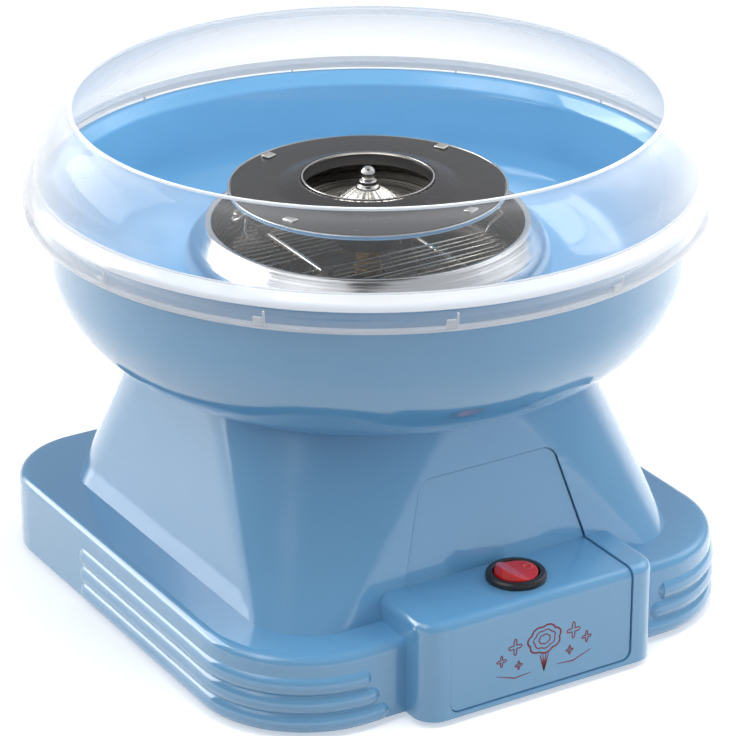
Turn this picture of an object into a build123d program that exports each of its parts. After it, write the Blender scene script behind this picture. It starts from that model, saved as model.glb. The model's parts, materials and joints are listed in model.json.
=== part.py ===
from build123d import *
from math import atan2, copysign, cos, degrees, hypot, radians, sin, sqrt
import os

os.makedirs("parts", exist_ok=True)

# Counter-top cotton candy machine, millimetres. Origin on the spin axis at the
# surface it stands on, +Z up, the switch box faces -Y.

GAP = 0.3                 # air between pieces that lift off each other
RUN = 0.05                # radial clearance of a running fit

# Base housing: a low skirt, a tapered tower and the switch box, one moulding.
FOOT_HEIGHT = 2.5
SKIRT_TOP = 33.0
SKIRT_HALF = 110.6
SKIRT_FRONT = -108.2
SKIRT_REAR = 114.1
SKIRT_FRONT_R = 44.3
SKIRT_REAR_R = 34.0
SKIRT_EDGE_R = 4.0
WALL = 3.0

TOWER_FOOT_HALF = 91.8
TOWER_FOOT_R = 27.0
TOWER_TOP_HALF = 79.6
TOWER_TOP_FRONT_R = 67.0
TOWER_TOP_REAR_R = 50.0
TOWER_TOP = 97.0
TOWER_STOCK_TOP = 104.0
DECK_TOP = 96.6
DECK_THICK = 3.0
DECK_HOLE_R = 46.0
SEAT_INNER_R = 76.0

BOX_X = 2.5
BOX_HALF = 52.0
BOX_FRONT = -122.0
BOX_TOP = 43.0
BOX_CORNER_R = 9.0
BOX_EDGE_R = 4.0

# Three raised ribs wrap each front corner of the skirt.
RIB_HEIGHT = 1.5
RIB_HALF = 3.7
RIB_ROOT = 0.8
RIB_PITCH = 7.65
RIB_TOP_Z = 21.0
RIB_REAR_Y = 31.0
RIB_FRONT_X = (68.0, 64.5, 60.5)

# Front panel: an inlaid skin over the tower front, the box top and the box front.
PANEL_THICK = 1.3
PANEL_RECESS = 0.7
PANEL_SEAM = 0.5
PANEL_X = 1.9
PANEL_HALF = 40.0
PANEL_BOTTOM = 4.9
PANEL_TOP = 80.5
PANEL_TOP_HALF = 29.2
PANEL_TOP_R = 6.0
PANEL_BOTTOM_R = 3.5

# Switch: a round snap-in rocker in a 20 mm cut-out.
SWITCH_X = 1.7
SWITCH_Y = -103.5
SWITCH_CUTOUT_R = 10.2
SWITCH_BODY_R = 10.0
BEZEL_R = 11.5
BEZEL_TOP = 45.2
SWITCH_BOTTOM = 27.0
ROCKER_R = 8.5
ROCKER_POCKET_R = 8.9
ROCKER_PIVOT_Z = 44.0
ROCKER_TILT = 10.0
ROCKER_PIN_R = 1.0

# Collecting bowl: an elliptic wall in section, open over the heat shield.
BOWL_ELLIPSE_R = 63.45
BOWL_ELLIPSE_Z = 142.0
BOWL_RX = 58.5
BOWL_RZ = 45.0
BOWL_WALL = 2.5
BOWL_HOLE_R = 72.5
BOWL_RIM_Z = 168.0
BOWL_LIP_R = 126.4

# Clear splash guard.
GUARD_WALL = 2.0
GUARD_MOUTH_R = 112.4
GUARD_TOP = 200.2
FLANGE_R = 131.5

# Heat shield and heater.
SHIELD_R = 70.7
SHIELD_SHOULDER_Z = 141.8
SHIELD_RIM_R = 60.3
SHIELD_RIM_Z = 154.0
SHIELD_DISH_R = 56.6
SHIELD_FLOOR_Z = 128.5
SHIELD_THICK = 0.8
SHIELD_HOLE_R = 7.0
HEATER_Z = 137.0
HEATER_WIRE_R = 0.6

# Motor, hung from a steel plate on four rubber-bushed pillars.
PLATE_Z = 114.0
PLATE_THICK = 2.0
PLATE_R = 60.0
PILLAR_RADIUS = 53.0
PILLAR_R = 5.0
BUFFER_R = 6.5
BUFFER_NECK_R = 4.1
BUFFER_HEIGHT = 4.0
BUFFER_CAP = 2.0
MOTOR_R = 19.0
MOTOR_BOTTOM = 58.0
MOTOR_WALL = 1.6
MOTOR_SCREW_RADIUS = 12.5
SHAFT_R = 2.0
SHAFT_BOTTOM = 45.0
SHAFT_TOP = 165.3
BUSH_R = 5.0
COUPLING_R = 5.0
COUPLING_TOP = 142.0
END_CAP_THICK = 4.0
MAGNET_BOTTOM = 66.0
MAGNET_TOP = 106.0
MAGNET_INNER_R = 14.6
MAGNET_SPLIT = 4.0
ARMATURE_R = 13.9
ARMATURE_BOTTOM = 70.0
ARMATURE_TOP = 102.0
ARMATURE_SLOTS = 5
COMMUTATOR_R = 5.0
COMMUTATOR_BOTTOM = 61.5
COMMUTATOR_TOP = 69.0
BRUSH_INNER_X = 5.4
BRUSH_OUTER_X = 11.0
BRUSH_SIZE = 4.0
FAN_R = 24.0
FAN_HUB_R = 7.0
FAN_HEIGHT = 7.0
FAN_BLADES = 7
FAN_TWIST = 35.0
FAN_BLADE_THICK = 1.4

# Spinner head.
HEAD_R = 53.4
HEAD_DISC_R = 52.3
HEAD_TOP = 165.6
HEAD_THICK = 0.9
HEAD_COLLAR_R = 34.8
HEAD_HOLE_R = 24.8
HUB_R = 13.0
TAB_COUNT = 4
TAB_FIRST_DEG = 22.0
TAB_LONG = 3.8
TAB_WIDE = 5.0

# Fixings and feet.
FOOT_R = 13.0
FOOT_X = 78.0
FOOT_FRONT_Y = -76.0
FOOT_REAR_Y = 84.0
SCREW_R = 1.5
SCREW_HEAD_R = 3.0
COVER_THICK = 2.5
COVER_GAP = 0.4
GLAND_X = 60.0
GLAND_Z = 16.0
GLAND_BORE_R = 3.5
COVER_SCREW_X = 93.0
COVER_SCREW_FRONT_Y = -40.0
COVER_SCREW_REAR_Y = 55.0
COVER_SCREW_LENGTH = 13.0
COVER_SCREW_SINK = 1.5
BOSS_R = 4.5
FOOT_NECK_R = 3.2
POCKET_R = 15.0
POCKET_TOP = 10.0
VENT_COUNT = 9
VENT_PITCH = 8.0
VENT_HALF = 1.5
VENT_LENGTH = 36.0

# Drive details, spacers and the ball nut.
DRIVE_PIN_Z = 144.0
DRIVE_PIN_R = 1.0
DRIVE_PIN_HALF = 8.0
SPACER_RADIUS = 30.0
TAB_RADIUS = 49.6
BALL_R = 2.9
BALL_Z = 169.7
BALL_FLARE_R = 3.7

# Heater runs and their cross rods.
WIRE_ROWS = 6
WIRE_FIRST_Y = 9.5
WIRE_PITCH = 7.3
WIRE_SPAN_R = 52.0
BAR_X = 26.0
BAR_R = 1.1
BAR_LONG_END = 50.0
BAR_SHORT_END = 15.0
POST_LONG_ROW = 3.5
POST_SHORT_ROW = -0.5
POST_R = 2.4

# Electrics on the bottom cover.
BOARD_X = -45.0
BOARD_Y = 30.0
BOARD_Z = 12.0
TERMINAL_X = 42.0
TERMINAL_Y = 70.0
BOARD_HALF_X = 25.0
BOARD_HALF_Y = 17.0
BOARD_THICK = 1.6
BOARD_POST_X = 21.0
BOARD_POST_Y = 13.0
BOARD_POST_R = 3.0
TERMINAL_HALF_X = 15.0
TERMINAL_HALF_Y = 9.0
TERMINAL_HEIGHT = 14.0
TERMINAL_PITCH = 9.0
TERMINAL_SCREW_R = 2.2
LEAD_R = 1.2
LEAD_Z = 9.0
LEAD_SPREAD = 5.0
BLADE_LENGTH = 8.0
BLADE_WIDE = 4.8
BLADE_THICK = 0.8


def save(node, shape):
    """Write one sub-part; a list of pieces becomes one group of solids."""
    if isinstance(shape, (list, tuple)):
        shape = Compound(children=[s for piece in shape for s in piece.solids()])
    export_step(shape, "parts/" + node + ".step")


def rod(r, z0, z1, x=0.0, y=0.0):
    return Pos(x, y, (z0 + z1) / 2) * Cylinder(r, z1 - z0)


def block(x0, x1, y0, y1, z0, z1):
    return Pos((x0 + x1) / 2, (y0 + y1) / 2, (z0 + z1) / 2) * Box(x1 - x0, y1 - y0, z1 - z0)


def turned(*edges):
    """Solid of revolution about the spin axis from (radius, height) edges."""
    return revolve(Plane.XZ * make_face(Wire(edges)), Axis.Z)


def turned_outline(*points):
    """Solid of revolution from the corners of its (radius, height) section."""
    return turned(*Polyline(*points, close=True).edges())


def offset_points(points, distance, tangents=()):
    """The same (radius, height) points moved sideways, to the left of travel."""
    moved = []
    for i, (r, z) in enumerate(points):
        before = points[max(i - 1, 0)]
        after = points[min(i + 1, len(points) - 1)]
        dr, dz = after[0] - before[0], after[1] - before[1]
        if tangents and before == points[i]:
            dr, dz = tangents[0]
        if tangents and after == points[i]:
            dr, dz = tangents[1]
        length = hypot(dr, dz)
        moved.append((r - distance * dz / length, z + distance * dr / length))
    return moved


def turned_skin(points, thickness, tangents=()):
    """A pressed or moulded skin: one smooth curve and its offset, revolved."""
    inner = offset_points(points, thickness, tangents)
    return turned(
        Spline(*points, tangents=tangents), Line(points[-1], inner[-1]),
        Spline(*inner, tangents=tangents), Line(inner[0], points[0]),
    )


def turned_sheet(path, thickness, side):
    """A skin revolved from a path of lines and arcs, thickened to one side."""
    section = make_face(offset(path, thickness, side=side).edges())
    return revolve(Plane.XZ * section, Axis.Z)


def plan(half, front, rear, r_front, r_rear, z):
    """A rounded four-sided outline at height z, seen from above."""
    face = Pos(0, (front + rear) / 2, z) * Rectangle(2 * half, rear - front)
    rows = face.vertices().group_by(Axis.Y)
    face = fillet(rows[0], r_front)
    rear_row = face.vertices().group_by(Axis.Y)[-1]
    return fillet(rear_row, r_rear)


def corners(radius, count=4, first=45.0):
    """Points evenly round the spin axis."""
    angles = [radians(first + 360.0 * i / count) for i in range(count)]
    return [(radius * cos(a), radius * sin(a)) for a in angles]


def foot_points():
    return [(sx * FOOT_X, y) for sx in (-1, 1) for y in (FOOT_FRONT_Y, FOOT_REAR_Y)]


def spacer_points():
    return corners(SPACER_RADIUS, count=3, first=60.0)


def screw_points():
    rows = (COVER_SCREW_FRONT_Y, COVER_SCREW_REAR_Y)
    return [(sx * COVER_SCREW_X, y) for sx in (-1, 1) for y in rows]


# ---------------------------------------------------------------- base housing

def skirt(inset, z0, z1):
    face = plan(SKIRT_HALF - inset, SKIRT_FRONT + inset, SKIRT_REAR - inset,
                SKIRT_FRONT_R - inset, SKIRT_REAR_R - inset, z0)
    return extrude(face, z1 - z0, dir=(0, 0, 1))


def tower(inset, z0, z1):
    """The tapered body between two heights, its corners rounder towards the top."""
    faces = []
    for z in (z0, z1):
        t = (z - SKIRT_TOP) / (TOWER_TOP - SKIRT_TOP)
        half = TOWER_FOOT_HALF + t * (TOWER_TOP_HALF - TOWER_FOOT_HALF) - inset
        front_r = TOWER_FOOT_R + t * (TOWER_TOP_FRONT_R - TOWER_FOOT_R) - inset
        rear_r = TOWER_FOOT_R + t * (TOWER_TOP_REAR_R - TOWER_FOOT_R) - inset
        faces.append(plan(half, -half, half, front_r, rear_r, z))
    return loft(faces)


def tower_front_y(z):
    """Where the tower's flat front stands at height z."""
    t = (z - SKIRT_TOP) / (TOWER_TOP - SKIRT_TOP)
    return -(TOWER_FOOT_HALF + t * (TOWER_TOP_HALF - TOWER_FOOT_HALF))


def switch_box(inset, z0, z1, rear):
    """The box that holds the switch, its edges rounded when it is the outer one."""
    half = BOX_HALF - inset
    body = block(BOX_X - half, BOX_X + half, BOX_FRONT + inset, rear, z0, z1)
    front = body.edges().filter_by(Axis.Z).group_by(Axis.Y)[0]
    body = fillet(front, BOX_CORNER_R - inset)
    if inset == 0:
        top = body.faces().sort_by(Axis.Z)[-1]
        rear_y = top.edges().sort_by(Axis.Y)[-1]
        rounded = [e for e in top.edges() if e != rear_y]
        body = fillet(rounded, BOX_EDGE_R)
    return body


def raised_rib(z, front_x):
    """One round-topped rib round the left front corner, its two ends domed."""
    section = make_face(Wire([
        ThreePointArc((0, -RIB_HALF), (RIB_HEIGHT, 0), (0, RIB_HALF)),
        Line((0, RIB_HALF), (-RIB_ROOT, RIB_HALF)),
        Line((-RIB_ROOT, RIB_HALF), (-RIB_ROOT, -RIB_HALF)),
        Line((-RIB_ROOT, -RIB_HALF), (0, -RIB_HALF)),
    ]))
    upper_half = section & (Pos(0, RIB_HALF) * Rectangle(4 * RIB_HALF, 2 * RIB_HALF))
    turn_x = -SKIRT_HALF + SKIRT_FRONT_R
    turn_y = SKIRT_FRONT + SKIRT_FRONT_R
    side_end = Plane((-SKIRT_HALF, RIB_REAR_Y, z), x_dir=(-1, 0, 0), z_dir=(0, 1, 0))
    side = Plane((-SKIRT_HALF, turn_y, z), x_dir=(-1, 0, 0), z_dir=(0, 1, 0)) * section
    front = Plane((turn_x, SKIRT_FRONT, z), x_dir=(0, -1, 0), z_dir=(1, 0, 0)) * section
    front_end = Plane((-front_x, SKIRT_FRONT, z), x_dir=(0, -1, 0), z_dir=(1, 0, 0))
    bar = extrude(side, RIB_REAR_Y - turn_y, dir=(0, 1, 0))
    bar += revolve(side, Axis((turn_x, turn_y, 0), (0, 0, 1)), 90)
    bar += extrude(front, -front_x - turn_x, dir=(1, 0, 0))
    bar += revolve(side_end * upper_half, Axis((-SKIRT_HALF, RIB_REAR_Y, z), (1, 0, 0)))
    bar += revolve(front_end * upper_half, Axis((-front_x, SKIRT_FRONT, z), (0, 1, 0)))
    below = rod(2 * SKIRT_HALF, FOOT_HEIGHT - RIB_PITCH, FOOT_HEIGHT)
    return bar - below


def bowl_underside(clearance):
    """The space the bowl sits in, larger than the bowl by the clearance."""
    rx = BOWL_RX + clearance
    rz = BOWL_RZ + clearance
    arc = EllipticalCenterArc((BOWL_ELLIPSE_R, BOWL_ELLIPSE_Z), rx, rz, 270, arc_size=90)
    bottom_z = BOWL_ELLIPSE_Z - rz
    return turned(
        arc,
        Line((BOWL_ELLIPSE_R + rx, BOWL_ELLIPSE_Z), (0, BOWL_ELLIPSE_Z)),
        Line((0, BOWL_ELLIPSE_Z), (0, bottom_z)),
        Line((0, bottom_z), (BOWL_ELLIPSE_R, bottom_z)),
    )


def panel_outline(grow):
    """The front panel seen from the front, as a prism along Y."""
    points = [
        (-PANEL_HALF - grow, PANEL_BOTTOM - grow),
        (PANEL_HALF + grow, PANEL_BOTTOM - grow),
        (PANEL_HALF + grow, BOX_TOP + grow),
        (PANEL_TOP_HALF + grow, PANEL_TOP + grow),
        (-PANEL_TOP_HALF - grow, PANEL_TOP + grow),
        (-PANEL_HALF - grow, BOX_TOP + grow),
    ]
    face = make_face(Polyline(*points, close=True))
    rows = face.vertices().group_by(Axis.Y)
    face = fillet(rows[0], PANEL_BOTTOM_R + grow)
    face = fillet(face.vertices().group_by(Axis.Y)[-1], PANEL_TOP_R + grow)
    return Pos(PANEL_X, 0, 0) * extrude(Plane.XZ * face, 140)


def panel_strip(outer, inner):
    """The panel's path down the front between two offsets from the housing's surface."""
    run = TOWER_FOOT_HALF - TOWER_TOP_HALF
    lean = hypot(1, run / (TOWER_TOP - SKIRT_TOP))
    z_high = PANEL_TOP + 8.0
    z_low = FOOT_HEIGHT - 5.0
    outside = [
        (tower_front_y(z_high) - outer * lean, z_high),
        (tower_front_y(BOX_TOP) - outer * lean, BOX_TOP + outer),
        (BOX_FRONT - outer, BOX_TOP + outer),
        (BOX_FRONT - outer, z_low),
    ]
    inside = [
        (BOX_FRONT - inner, z_low),
        (BOX_FRONT - inner, BOX_TOP + inner),
        (tower_front_y(BOX_TOP) - inner * lean, BOX_TOP + inner),
        (tower_front_y(z_high) - inner * lean, z_high),
    ]
    face = make_face(Polyline(*outside, *inside, close=True))
    solid = extrude(Plane.YZ * face, 2 * BOX_HALF, both=True)
    bend = [e for e in solid.edges().filter_by(Axis.X)
            if hypot(e.center().Y - BOX_FRONT + outer, e.center().Z - BOX_TOP - outer) < 0.01]
    return fillet(bend, BOX_EDGE_R)


def base_housing():
    outer = skirt(0, FOOT_HEIGHT, SKIRT_TOP)
    top_edges = outer.faces().sort_by(Axis.Z)[-1].edges()
    outer = fillet(top_edges, SKIRT_EDGE_R)
    outer += tower(0, SKIRT_TOP - 1.0, TOWER_STOCK_TOP)
    outer += switch_box(0, FOOT_HEIGHT, BOX_TOP, -80.0)
    outer -= bowl_underside(GAP)
    outer -= rod(SEAT_INNER_R, DECK_TOP, TOWER_STOCK_TOP)
    for i, front_x in enumerate(RIB_FRONT_X):
        rib = raised_rib(RIB_TOP_Z - i * RIB_PITCH, front_x)
        outer += rib
        outer += mirror(rib, about=Plane.YZ)
    hollow = skirt(WALL, FOOT_HEIGHT - 1, SKIRT_TOP - WALL)
    hollow += tower(WALL, SKIRT_TOP - WALL - 2, DECK_TOP - DECK_THICK)
    hollow += switch_box(WALL, FOOT_HEIGHT - 1, BOX_TOP - WALL, -84.0)
    body = outer - hollow
    body -= rod(DECK_HOLE_R, DECK_TOP - DECK_THICK - 5, DECK_TOP + 5)
    for x, y in corners(PILLAR_RADIUS):
        pillar = rod(PILLAR_R, DECK_TOP - DECK_THICK, PLATE_Z - BUFFER_HEIGHT, x, y)
        body += pillar - rod(SCREW_R + 0.1, DECK_TOP, PLATE_Z, x, y)
    for x, y in screw_points():
        boss = rod(BOSS_R, FOOT_HEIGHT + COVER_THICK + 0.5, SKIRT_TOP - WALL + 0.5, x, y)
        body += boss - rod(SCREW_R + 0.1, 0, SKIRT_TOP - WALL - 2, x, y)
    body -= panel_strip(4.0, -PANEL_RECESS - PANEL_THICK) & panel_outline(PANEL_SEAM)
    body -= rod(SWITCH_CUTOUT_R + 0.2, BOX_TOP - WALL - 2, BOX_TOP + 5, SWITCH_X, SWITCH_Y)
    inlet = Pos(GLAND_X, SKIRT_REAR, GLAND_Z) * Rot(90, 0, 0) * Cylinder(GLAND_BORE_R + 2.2, 20)
    return body - inlet


def front_panel():
    panel = panel_strip(-PANEL_RECESS, -PANEL_RECESS - PANEL_THICK) & panel_outline(0)
    return panel - rod(SWITCH_CUTOUT_R, BOX_TOP - 5, BOX_TOP + 5, SWITCH_X, SWITCH_Y)


def bottom_cover():
    inset = WALL + COVER_GAP
    z0 = FOOT_HEIGHT
    z1 = FOOT_HEIGHT + COVER_THICK
    cover = skirt(inset, z0, z1) + switch_box(inset, z0, z1, -90.0)
    for x, y in foot_points():
        cover += rod(POCKET_R + 2.0, z0, POCKET_TOP + 2.0, x, y)
        cover -= rod(POCKET_R, z0 - 1, POCKET_TOP, x, y)
        cover -= rod(FOOT_NECK_R + 0.1, z0, POCKET_TOP + 3.0, x, y)
    for x, y in screw_points():
        cover -= rod(SCREW_R + 0.2, z0 - 1, z1 + 1, x, y)
        cover -= rod(SCREW_HEAD_R + 0.3, z0 - 1, z0 + COVER_SCREW_SINK, x, y)
    half_length = VENT_LENGTH / 2
    for i in range(-VENT_COUNT // 2 + 1, VENT_COUNT // 2 + 1):
        x = i * VENT_PITCH
        cover -= block(x - VENT_HALF, x + VENT_HALF, -half_length, half_length, z0 - 1, z1 + 1)
    for x, y in board_posts():
        cover += rod(BOARD_POST_R, z1 - 0.5, BOARD_Z, x, y)
    return cover


def bottom_cover_screws():
    z = FOOT_HEIGHT + COVER_SCREW_SINK
    return [rod(SCREW_HEAD_R, z - 1.4, z, x, y) + rod(SCREW_R, z, z + COVER_SCREW_LENGTH, x, y)
            for x, y in screw_points()]


def suction_foot(x, y):
    """Rubber suction cup with a neck and a button that snaps through the cover."""
    foot = turned_outline(
        (0, 2.5), (9.5, 0), (FOOT_R, 0), (FOOT_R, 1.5), (7, POCKET_TOP - 0.1),
        (FOOT_NECK_R, POCKET_TOP - 0.1), (FOOT_NECK_R, POCKET_TOP + 2.1),
        (5, POCKET_TOP + 2.1), (4, POCKET_TOP + 4.5), (0, POCKET_TOP + 4.5),
    )
    return Pos(x, y, 0) * foot


def cord_gland():
    """Bushing in the rear wall that the mains lead passes through."""
    wall_in = SKIRT_REAR - WALL
    tail = SKIRT_REAR + 5.5
    section = Polyline(
        (GLAND_BORE_R, wall_in - 2.5), (7.5, wall_in - 2.5), (7.5, wall_in), (5.5, wall_in),
        (5.5, SKIRT_REAR), (8.0, SKIRT_REAR), (8.0, SKIRT_REAR + 1.6), (5.6, SKIRT_REAR + 2.4),
        (5.0, tail), (GLAND_BORE_R, tail), close=True,
    )
    body = revolve(make_face(section), Axis.Y)
    return Pos(GLAND_X, 0, GLAND_Z) * body


# ---------------------------------------------------------------------- switch

def switch_body():
    body = rod(SWITCH_BODY_R, SWITCH_BOTTOM, BOX_TOP - PANEL_RECESS)
    bezel = rod(BEZEL_R, BOX_TOP - PANEL_RECESS, BEZEL_TOP)
    bezel = fillet(bezel.edges().sort_by(Axis.Z)[-1], 0.9)
    body += bezel
    pocket = Pos(0, 0, ROCKER_PIVOT_Z) * Sphere(ROCKER_POCKET_R)
    body -= pocket
    body -= rod(ROCKER_POCKET_R, ROCKER_PIVOT_Z, BEZEL_TOP + 1)
    pin_hole = Pos(0, 0, ROCKER_PIVOT_Z) * Rot(90, 0, 0) * Cylinder(ROCKER_PIN_R + RUN, 19.4)
    return Pos(SWITCH_X, SWITCH_Y, 0) * (body - pin_hole)


def switch_rocker():
    """Red rocker, a ball cut by a shallow V, pressed down at its +X end."""
    span = ROCKER_R + 0.5
    section = make_face(Polyline(
        (-span, -4.0), (span, -4.0), (span, 3.3), (0, 1.3), (-span, 3.3), close=True,
    ))
    wedge = extrude(Plane.XZ * section, span, both=True)
    rocker = Sphere(ROCKER_R) & wedge
    pin = Rot(90, 0, 0) * Cylinder(ROCKER_PIN_R, 19.0)
    rocker = Rot(0, ROCKER_TILT, 0) * (rocker + pin)
    return Pos(SWITCH_X, SWITCH_Y, ROCKER_PIVOT_Z) * rocker


def switch_terminals():
    blades = []
    for dx in (-LEAD_SPREAD, 0.0, LEAD_SPREAD):
        blade = Box(BLADE_THICK, BLADE_WIDE, BLADE_LENGTH)
        blades.append(Pos(SWITCH_X + dx, SWITCH_Y, SWITCH_BOTTOM - BLADE_LENGTH / 2) * blade)
    return blades


# ----------------------------------------------------------------------- motor

def motor_case():
    can = rod(MOTOR_R, MOTOR_BOTTOM, PLATE_Z)
    can = fillet(can.edges().sort_by(Axis.Z)[-1], 1.2)
    can -= rod(MOTOR_R - MOTOR_WALL, MOTOR_BOTTOM - 1, PLATE_Z - MOTOR_WALL)
    can -= rod(BUSH_R, PLATE_Z - 5, PLATE_Z + 1)
    for sx in (-1, 1):
        can -= rod(SCREW_R + 0.1, PLATE_Z - 5, PLATE_Z + 1, sx * MOTOR_SCREW_RADIUS)
    return can


def motor_end_cap():
    cap = rod(MOTOR_R, MOTOR_BOTTOM - END_CAP_THICK, MOTOR_BOTTOM)
    cap += rod(MOTOR_R - MOTOR_WALL - 0.1, MOTOR_BOTTOM, MOTOR_BOTTOM + 2)
    for sx in (-1, 1):
        holder_x = sx * BRUSH_OUTER_X
        cap += block(holder_x - 2, holder_x + 2, -2.5, 2.5, MOTOR_BOTTOM + 1, MOTOR_BOTTOM + 5)
    return cap - rod(BUSH_R, MOTOR_BOTTOM - 5, MOTOR_BOTTOM + 3)


def motor_magnets():
    r_out = MOTOR_R - MOTOR_WALL - 0.1
    ring = rod(r_out, MAGNET_BOTTOM, MAGNET_TOP)
    ring -= rod(MAGNET_INNER_R, MAGNET_BOTTOM - 1, MAGNET_TOP + 1)
    split = block(-MAGNET_SPLIT, MAGNET_SPLIT, -MOTOR_R, MOTOR_R, MAGNET_BOTTOM - 1, MAGNET_TOP + 1)
    return ring - split


def carbon_brushes():
    z = MOTOR_BOTTOM + 5
    half = BRUSH_SIZE / 2
    brush = block(BRUSH_INNER_X, BRUSH_OUTER_X, -half, half, z, z + BRUSH_SIZE)
    return [brush, mirror(brush, about=Plane.YZ)]


def motor_bushes():
    upper = rod(BUSH_R, PLATE_Z - 4, PLATE_Z + 4) - rod(SHAFT_R + RUN, PLATE_Z - 5, PLATE_Z + 5)
    lower = rod(BUSH_R, MOTOR_BOTTOM - END_CAP_THICK, MOTOR_BOTTOM + 2)
    lower -= rod(SHAFT_R + RUN, MOTOR_BOTTOM - 5, MOTOR_BOTTOM + 3)
    return [upper, lower]


def motor_armature():
    core = rod(ARMATURE_R, ARMATURE_BOTTOM, ARMATURE_TOP)
    slot = Box(10.0, 2.0, 2 * (ARMATURE_TOP - ARMATURE_BOTTOM))
    middle = (ARMATURE_BOTTOM + ARMATURE_TOP) / 2
    for x, y in corners(10.0, ARMATURE_SLOTS, first=0.0):
        core -= Pos(x, y, middle) * Rot(0, 0, degrees(atan2(y, x))) * slot
    return core - rod(SHAFT_R, ARMATURE_BOTTOM - 1, ARMATURE_TOP + 1)


def motor_commutator():
    bars = rod(COMMUTATOR_R, COMMUTATOR_BOTTOM, COMMUTATOR_TOP)
    return bars - rod(SHAFT_R, COMMUTATOR_BOTTOM - 1, COMMUTATOR_TOP + 1)


def drive_shaft():
    shaft = rod(SHAFT_R, SHAFT_BOTTOM, SHAFT_TOP)
    shaft = chamfer(shaft.edges().sort_by(Axis.Z)[-1], 0.5)
    return shaft - drive_pin()


def drive_pin():
    """Cross pin that turns the hub."""
    return Pos(0, 0, DRIVE_PIN_Z) * Rot(0, 90, 0) * Cylinder(DRIVE_PIN_R, 2 * DRIVE_PIN_HALF)


def brass_coupling():
    """Hexagonal brass post on the motor shaft, with a round collar at its foot."""
    post = extrude(Pos(0, 0, SHIELD_FLOOR_Z + 1.5) * RegularPolygon(COUPLING_R + 0.4, 6),
                   COUPLING_TOP - SHIELD_FLOOR_Z - 1.5, dir=(0, 0, 1))
    post += rod(COUPLING_R + 0.6, SHIELD_FLOOR_Z + 1.0, SHIELD_FLOOR_Z + 3.0)
    return post - rod(SHAFT_R, SHIELD_FLOOR_Z, COUPLING_TOP + 1)


def cooling_fan():
    z0 = SHAFT_BOTTOM + 1
    z1 = z0 + FAN_HEIGHT
    root = FAN_HUB_R - 1.5
    fan = rod(FAN_HUB_R, z0, z1)
    blade = Rot(FAN_TWIST, 0, 0) * Box(FAN_R - root, FAN_BLADE_THICK, FAN_HEIGHT)
    for x, y in corners((FAN_R + root) / 2, FAN_BLADES, first=0.0):
        fan += Pos(x, y, (z0 + z1) / 2) * Rot(0, 0, degrees(atan2(y, x))) * blade
    return fan - rod(SHAFT_R, z0 - 1, z1 + 1)


def motor_mount_plate():
    plate = rod(PLATE_R, PLATE_Z, PLATE_Z + PLATE_THICK)
    plate -= rod(BUSH_R + 0.5, PLATE_Z - 1, PLATE_Z + 5)
    for sx in (-1, 1):
        plate -= rod(SCREW_R + 0.2, PLATE_Z - 1, PLATE_Z + 5, sx * MOTOR_SCREW_RADIUS)
    for x, y in corners(PILLAR_RADIUS):
        plate -= rod(BUFFER_NECK_R + 0.1, PLATE_Z - 1, PLATE_Z + 5, x, y)
    for x, y in spacer_points():
        plate -= rod(SCREW_R + 0.1, PLATE_Z - 1, PLATE_Z + 5, x, y)
    return plate


def rubber_bushes():
    plate_top = PLATE_Z + PLATE_THICK
    bushes = []
    for x, y in corners(PILLAR_RADIUS):
        bush = rod(BUFFER_R, PLATE_Z - BUFFER_HEIGHT, PLATE_Z, x, y)
        bush += rod(BUFFER_NECK_R, PLATE_Z, plate_top, x, y)
        bush += rod(BUFFER_R, plate_top, plate_top + BUFFER_CAP, x, y)
        bushes.append(bush - rod(SCREW_R + 0.2, PLATE_Z - 5, PLATE_Z + 6, x, y))
    return bushes


def machine_screws(points, seat_z, length):
    return [
        rod(SCREW_HEAD_R, seat_z, seat_z + 2.2, x, y) + rod(SCREW_R, seat_z - length, seat_z, x, y)
        for x, y in points
    ]


# ------------------------------------------------------- heat shield and heater

def heat_shield():
    """Spun aluminium dish: skirt, rolled shoulder and an inner wall down to the floor."""
    path = FilletPolyline(
        (SHIELD_R - 1.0, DECK_TOP), (SHIELD_R, SHIELD_SHOULDER_Z), (SHIELD_RIM_R, SHIELD_RIM_Z),
        (SHIELD_DISH_R, SHIELD_FLOOR_Z), (SHIELD_HOLE_R, SHIELD_FLOOR_Z), radius=[14.0, 1.6, 8.0],
    )
    shield = turned_sheet(path, SHIELD_THICK, Side.RIGHT)
    for x, y in spacer_points():
        shield -= rod(SCREW_R + 0.2, SHIELD_FLOOR_Z - 3, SHIELD_FLOOR_Z + 1, x, y)
    return shield


def shield_spacers():
    top = SHIELD_FLOOR_Z - SHIELD_THICK
    return [rod(4.0, PLATE_Z + PLATE_THICK, top, x, y) - rod(SCREW_R + 0.2, PLATE_Z, top + 1, x, y)
            for x, y in spacer_points()]


def wire_rows():
    """The heater's straight runs: height y across the dish and half length."""
    rows = []
    for k in range(WIRE_ROWS):
        for side in (-1, 1):
            y = side * (WIRE_FIRST_Y + k * WIRE_PITCH)
            rows.append((y, sqrt(WIRE_SPAN_R ** 2 - y * y)))
    return rows


def heater_wires():
    return [Pos(0, y, HEATER_Z) * Rot(0, 90, 0) * Cylinder(HEATER_WIRE_R, 2 * half)
            for y, half in wire_rows()]


def heater_bar_places():
    """Each cross rod: its side (-1 left, over the wires; 1 right, under them) and height."""
    lift = HEATER_WIRE_R + BAR_R
    return [(-1, HEATER_Z + lift), (1, HEATER_Z - lift)]


def heater_bars():
    """Two cross rods that the wires run under and over."""
    bars = []
    middle = (BAR_LONG_END - BAR_SHORT_END) / 2
    length = BAR_LONG_END + BAR_SHORT_END
    for side, z in heater_bar_places():
        bar = Rot(90, 0, 0) * Cylinder(BAR_R, length)
        bars.append(Pos(side * BAR_X, -side * middle, z) * bar)
    return bars


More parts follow.
